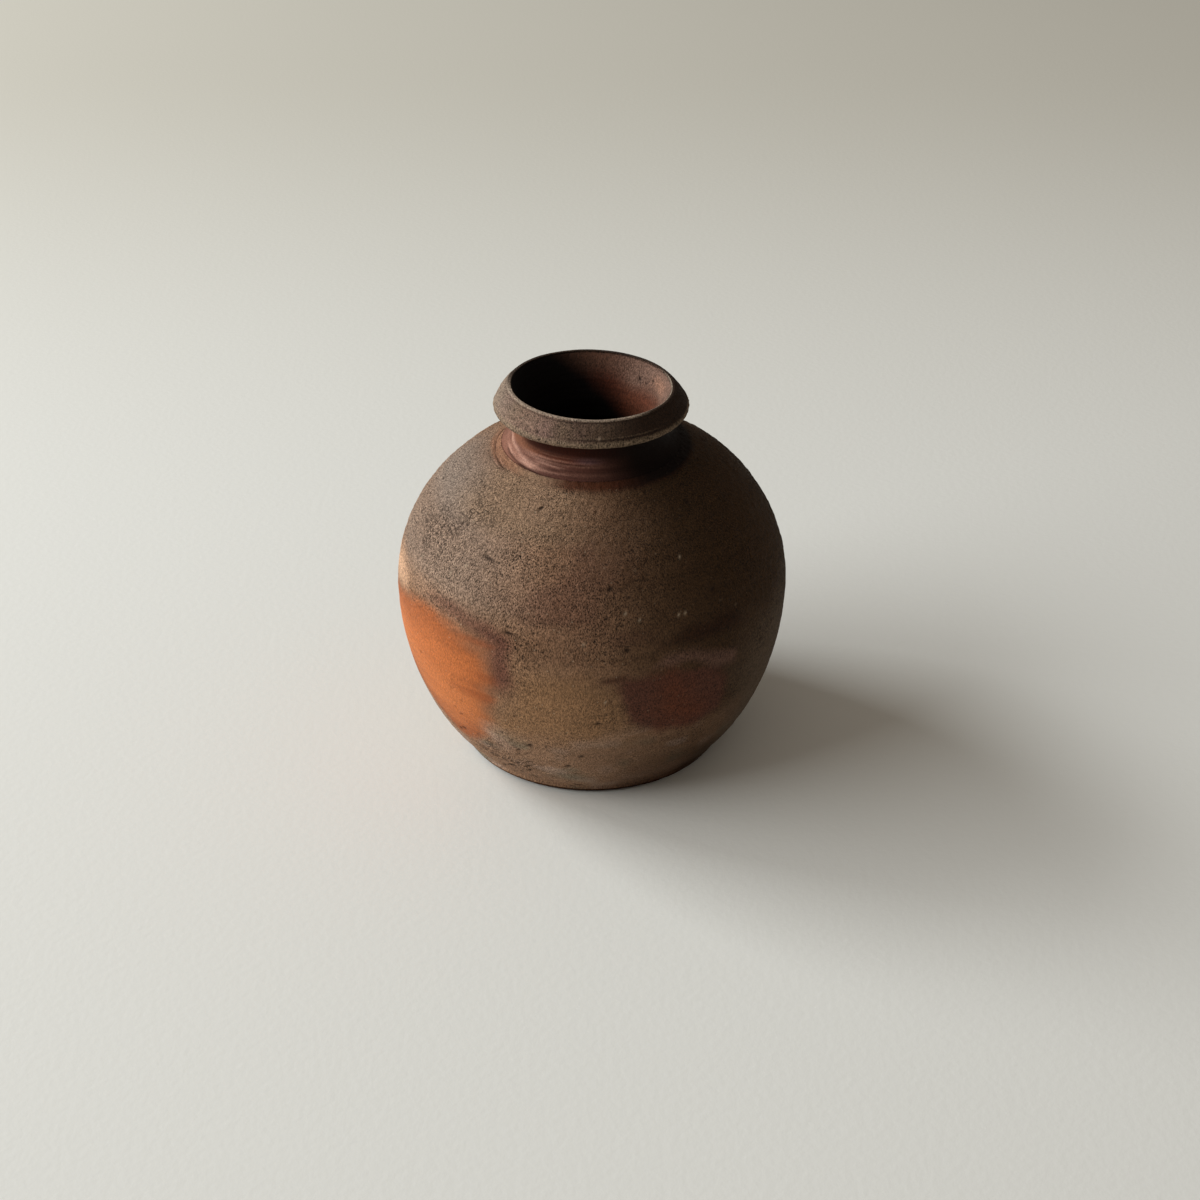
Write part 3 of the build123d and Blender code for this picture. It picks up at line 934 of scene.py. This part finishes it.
def buildPiece(name, piece):
    # one clay member as a closed solid, ridden by the root body and standing for its CAD node
    stations = []
    for item in piece["course"]:
        if isinstance(item, str):
            first, last = span[item]
            stations += [row for row in range(first, last + 1) if [row] != stations[-1:]]
        else:
            stations.append(item)
    rings = [stationRing(station) for station in stations]
    starts = np.concatenate(([0], np.cumsum([len(ring) for ring in rings])))
    ways = [(k, k + 1) for k in range(len(stations) - 1)]
    if len(rings[0]) > 1 and len(rings[-1]) > 1:
        ways.append((len(stations) - 1, 0))
    now, following = np.arange(len(around)), np.roll(np.arange(len(around)), -1)
    faces, directions = [], []
    for low, high in ways:
        a, b = stations[low], stations[high]
        if isinstance(a, int) and isinstance(b, int) and abs(a - b) == 1:
            lowWay, highWay = skinNormals[a], skinNormals[b]
        else:
            start, end = (rows[s] if isinstance(s, int) else np.array(s) for s in (a, b))
            step = (end - start) / np.linalg.norm(end - start)
            lowWay = highWay = turned([(step[1], -step[0])])[0]
        quad = [(starts[low], now, lowWay), (starts[low], following, lowWay),
                (starts[high], following, highWay), (starts[high], now, highWay)]
        if len(rings[low]) == 1:
            quad = [(starts[low], now * 0, lowWay)] + quad[2:]
        if len(rings[high]) == 1:
            quad = quad[:2] + [(starts[high], now * 0, highWay)]
        faces += np.stack([base + pick for base, pick, _ in quad], axis=1).tolist()
        directions += np.stack([way[pick] for _, pick, way in quad], axis=1).reshape(-1, 3).tolist()
    data = bpy.data.meshes.new(name)
    data.from_pydata((np.concatenate(rings) * mm).tolist(), [], faces)
    data.polygons.foreach_set("use_smooth", np.ones(len(faces), bool))
    for mask in [*piece["marks"], "coarse", "leather", "flecks", "pit", "grit"]:
        values = [masks[mask][s][:len(ring)] if isinstance(s, int) else np.zeros(len(ring))
                  for s, ring in zip(stations, rings)]
        layer = data.attributes.new(mask, "FLOAT", "POINT")
        layer.data.foreach_set("value", np.concatenate(values).astype(np.float32))
    data.normals_split_custom_set(directions)
    data.update()
    made = addObject(name, data)
    data.materials.append(firedClay(name + "Clay", piece))
    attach(made, "root")
    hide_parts(piece["node"])
    print(name, "has", len(faces), "faces")


joint = {
    "footSpigot": jar["footRadius"] - jar["footLedge"],
    "bellyRiser": jar["bellyRadius"] - jar["bellyWall"] / 2,
}

# The foot: a flat disc cut from the wheel with a string
footDisc = {
    "node": "foot_disc",
    "slot": "foot_clay",
    "course": ("underside", "footEdge", "footLedge", (joint["footSpigot"], jar["footEdge"]), "floor"),
    "marks": "clouds lowBand darkSide footLine footShade deepInside".split(),
    "dark": shade(118, 87, 65), "light": shade(144, 110, 85),
    "fleck": shade(196, 176, 152), "pit": shade(44, 30, 24),
    "grain": 0.58, "fine": 0.46, "streaks": 0.05,
    "rough": 0.85, "gloss": 0.0, "glossMask": "clouds", "bump": 0.38, "shine": 0.0,
}
buildPiece("footDisc", footDisc)

# What the belly's two halves share: their clay, and the marks that cross the seam between them
bellyClay = {
    "marks": "clouds ochre redHaze darkSide greySide peach backFlash orange orangeHeart orangeShade orangeLight "
             "halo smoke red rust lilac redTail deepInside".split(),
    "dark": shade(118, 87, 65), "light": shade(144, 110, 85),
    "fleck": shade(198, 178, 152), "pit": shade(40, 28, 22),
    "grain": 0.6, "fine": 0.46, "streaks": 0.1,
    "rough": 0.78, "gloss": 0.2, "glossMask": "orange", "bump": 0.38, "shine": 0.12,
}

# The bowl: the lower half of the belly, with the orange flash and the dark red one
lowerBowl = bellyClay | {
    "node": "lower_bowl",
    "slot": "bowl_clay",
    "course": ("bowl", (joint["bellyRiser"], jar["bellySeam"]), (joint["bellyRiser"], jar["bellyTongue"]),
               "bowlInside", (joint["footSpigot"], jar["footEdge"])),
    "marks": bellyClay["marks"] + "lowBand palePatches greenPatches lowGlow footShade".split(),
}
buildPiece("lowerBowl", lowerBowl)

# The dome: the shoulder, leathery and grey at the left where ash settled
shoulderDome = bellyClay | {
    "node": "shoulder_dome",
    "slot": "shoulder_clay",
    "course": ("dome", "domeTop", (jar["neckJoint"], jar["neckLedge"]), (jar["neckSkirt"], jar["neckLedge"]),
               "domeInside", (joint["bellyRiser"], jar["bellyTongue"]), (joint["bellyRiser"], jar["bellySeam"])),
    "marks": bellyClay["marks"] + "mauve ash tanGlow neckTan neckBlush ridge channel jointRed neckDark".split(),
}
buildPiece("shoulderDome", shoulderDome)

# The neck: smoothed by wet fingers and fired to a red brown with a faint gloss
mouthMarks = "mouthRed mouthGlow mouthPale mouthLight mouthEmber mouthDark".split()
neckRing = {
    "node": "neck_ring",
    "slot": "neck_clay",
    "course": ("neck", (jar["collarSeat"], jar["collarRoot"]), (jar["collarSeat"], jar["neckTongue"]), "throat",
               (jar["neckSkirt"], jar["neckLedge"]), (jar["neckJoint"], jar["neckLedge"])),
    "marks": mouthMarks + "neckRed neckPink neckOrange neckWarm neckPurple ridge channel underCollar neckDark".split(),
    "dark": shade(98, 62, 50), "light": shade(120, 76, 58),
    "fleck": shade(180, 140, 118), "pit": shade(36, 20, 16),
    "grain": 0.44, "fine": 0.3, "streaks": 0.2,
    "rough": 0.74, "gloss": 0.3, "glossMask": "ridge", "bump": 0.24, "shine": 0.1,
}
buildPiece("neckRing", neckRing)

# The collar: a rolled ring with a fine tool line and a thin lip
rimCollar = {
    "node": "rim_collar",
    "slot": "collar_clay",
    "course": ("collar", "lipOuter", "lipTop", "lipInner", "flare", (jar["collarSeat"], jar["neckTongue"]),
               (jar["collarSeat"], jar["collarRoot"])),
    "marks": mouthMarks + "clouds collarPale collarMauve collarDark collarEdge collarCrest collarLines lip "
                          "lipShade".split(),
    "dark": shade(108, 87, 71), "light": shade(132, 109, 90),
    "fleck": shade(190, 168, 146), "pit": shade(36, 26, 22),
    "grain": 0.54, "fine": 0.4, "streaks": 0.06,
    "rough": 0.8, "gloss": 0.1, "glossMask": "mouthRed", "bump": 0.32, "shine": 0.12,
}
buildPiece("rimCollar", rimCollar)

# A pale floor, wide enough to fill the view
studio = {
    "floorSide": 6.0,
    "floorColour": shade(223, 223, 218),
    # the floor's far part is painted darker: painted shade where the light falls off towards the back
    "farFloorShade": shade(195, 192, 181),
    "farFloorFrom": 0.05,
    "farFloorTo": 0.5,
    "windows": {  # degrees round and up from the flask, width, height and watts
        "nearWindow": (153.4, 33.7, 0.71, 0.5, 20.2),
        "sideWindow": (193.0, 32.3, 1.38, 0.84, 21.0),
    },
    "windowDistance": 1.8,
    "windowColour": (0.97, 1.0, 1.01),
    "roomColour": (1.0, 0.88, 0.75, 1.0),
    "roomStrength": 0.25,
    "lookAt": (0.00171, 0.0, 0.0293),
    "eye": (0.00171, -0.34763, 0.24209),
    "lens": 58.5,
}


def layFloor():
    half = studio["floorSide"] / 2
    data = bpy.data.meshes.new("floor")
    data.from_pydata([(-half, -half, 0), (half, -half, 0), (half, half, 0), (-half, half, 0)], [], [(0, 1, 2, 3)])
    floor = addObject("floor", data)
    material, tree, shader, where = newMaterial("paleMat")
    shader.inputs["Roughness"].default_value = 0.85
    axes = addNode(tree, "ShaderNodeSeparateXYZ")
    connect(where, axes.inputs[0])
    # painted shade: the floor darkens towards the back
    away = stepped(axes.outputs[1], studio["farFloorFrom"], studio["farFloorTo"])
    colour = blendColours(away, studio["floorColour"], studio["farFloorShade"])
    connect(colour, shader.inputs["Base Color"])
    addBump(shader, lumps(where, 1.6), 0.25, 0.2)
    data.materials.append(material)


def aim(made, place, target):
    made.location = place
    made.rotation_euler = (Vector(target) - Vector(place)).to_track_quat("-Z", "Y").to_euler()


def lightRoom():
    for name, (azimuth, up, width, height, watts) in studio["windows"].items():
        window = addObject(name, bpy.data.lights.new(name, "AREA"))
        window.data.shape = "RECTANGLE"
        window.data.size, window.data.size_y = width, height
        window.data.energy = watts
        window.data.color = studio["windowColour"]
        flat = studio["windowDistance"] * math.cos(math.radians(up))
        place = (flat * math.cos(math.radians(azimuth)), flat * math.sin(math.radians(azimuth)),
                 studio["windowDistance"] * math.sin(math.radians(up)))
        aim(window, place, (0, 0, 0))
    world = bpy.data.worlds.new("room")
    world.use_nodes = True
    background = world.node_tree.nodes["Background"]
    background.inputs["Color"].default_value = studio["roomColour"]
    background.inputs["Strength"].default_value = studio["roomStrength"]
    scene.world = world


def placeCamera():
    camera = addObject("camera", bpy.data.cameras.new("camera"))
    camera.data.lens = studio["lens"]
    camera.data.sensor_width = 36
    camera.data.clip_start = 0.01
    aim(camera, studio["eye"], studio["lookAt"])
    bpy.context.scene.camera = camera
    scene.view_settings.view_transform = "Standard"


layFloor()
lightRoom()
placeCamera()
print("floor, light and camera are set")
